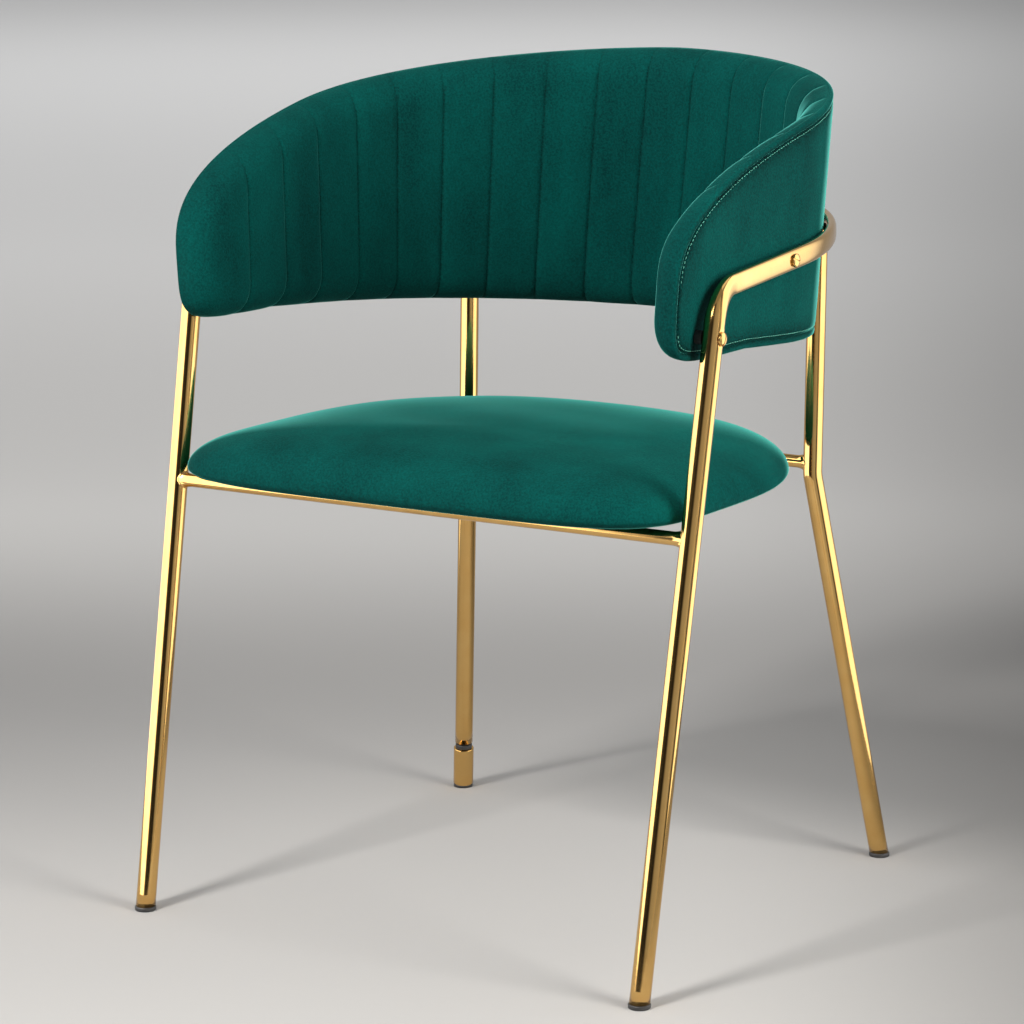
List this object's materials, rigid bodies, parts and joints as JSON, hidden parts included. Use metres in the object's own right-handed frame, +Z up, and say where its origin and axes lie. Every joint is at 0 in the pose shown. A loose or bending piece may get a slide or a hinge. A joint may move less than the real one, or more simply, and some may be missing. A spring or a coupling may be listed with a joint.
{
  "type": "dining chair",
  "caption": "Armchair-height dining chair with a bent metal tube frame, a wrap-round channelled velvet back pad and a round-backed velvet seat.",
  "frame": {"origin": "On the floor, under the middle of the object's box, which is also the middle of the back bow.", "axes": "+Z up, +Y to the back of the chair, +X to the sitter's left."},
  "size_m": [0.5622, 0.5418, 0.7645],
  "materials": {
    "gold_tube": "steel tube with polished gold-coloured plating",
    "gold_screw": "gold-coloured plated steel screw",
    "zinc_steel": "zinc-plated steel",
    "velvet": "deep green short-pile velvet with a pale sheen at grazing angles",
    "foam": "open-cell upholstery foam",
    "plywood": "bare birch plywood",
    "dust_cloth": "black non-woven dust cloth",
    "black_plastic": "black moulded nylon"
  },
  "bodies": {
    "frame": {"arm_loop_tube": "gold_tube", "rear_leg_left": "gold_tube", "rear_leg_right": "gold_tube", "front_cross_rail": "gold_tube", "rear_cross_rail": "gold_tube", "seat_tab_front_left": "gold_tube", "seat_tab_front_right": "gold_tube", "seat_tab_rear_left": "gold_tube", "seat_tab_rear_right": "gold_tube", "seat_washer_front_left": "zinc_steel", "seat_washer_front_right": "zinc_steel", "seat_washer_rear_left": "zinc_steel", "seat_washer_rear_right": "zinc_steel", "seat_screw_front_left": "zinc_steel", "seat_screw_front_right": "zinc_steel", "seat_screw_rear_left": "zinc_steel", "seat_screw_rear_right": "zinc_steel", "seat_tee_nut_front_left": "zinc_steel", "seat_tee_nut_front_right": "zinc_steel", "seat_tee_nut_rear_left": "zinc_steel", "seat_tee_nut_rear_right": "zinc_steel", "seat_board": "plywood", "seat_dust_cover": "dust_cloth", "seat_cover": "velvet", "seat_foam": "foam", "back_screw_leg_left": "gold_screw", "back_screw_leg_right": "gold_screw", "back_screw_arm_left": "gold_screw", "back_screw_arm_right": "gold_screw", "back_screw_rear_left": "gold_screw", "back_screw_rear_right": "gold_screw", "back_spacer_leg_left": "black_plastic", "back_spacer_leg_right": "black_plastic", "back_spacer_arm_left": "black_plastic", "back_spacer_arm_right": "black_plastic", "back_spacer_rear_left": "black_plastic", "back_spacer_rear_right": "black_plastic", "back_tee_nut_leg_left": "zinc_steel", "back_tee_nut_leg_right": "zinc_steel", "back_tee_nut_arm_left": "zinc_steel", "back_tee_nut_arm_right": "zinc_steel", "back_tee_nut_rear_left": "zinc_steel", "back_tee_nut_rear_right": "zinc_steel", "back_ply_shell": "plywood", "back_foam": "foam", "back_cover_inner": "velvet", "back_cover_outer": "velvet", "foot_glide_front_left": "black_plastic", "foot_glide_front_right": "black_plastic", "foot_glide_rear_left": "black_plastic", "levelling_insert": "zinc_steel"},
    "levelling_foot": {"levelling_pad": "black_plastic"},
    "levelling_screw": {"levelling_sleeve": "gold_tube", "levelling_stud": "zinc_steel", "levelling_lock_ring": "black_plastic"}
  },
  "joints": [
    {"name": "levelling_travel", "type": "slide", "parent": "frame", "child": "levelling_foot", "axis": [-0.1215, 0.1625, -0.9792], "range_m": [-0.00172, 0.0075]},
    {"name": "levelling_turn", "type": "hinge", "parent": "levelling_foot", "child": "levelling_screw", "pos_m": [-0.2375, 0.2463, 0], "axis": [-0.1215, 0.1625, -0.9792], "range_deg": [-500, 2162]}
  ],
  "couplings": [
    {"joint": "levelling_turn", "follows": "levelling_travel", "rad_per_m": 5026.6}
  ]
}
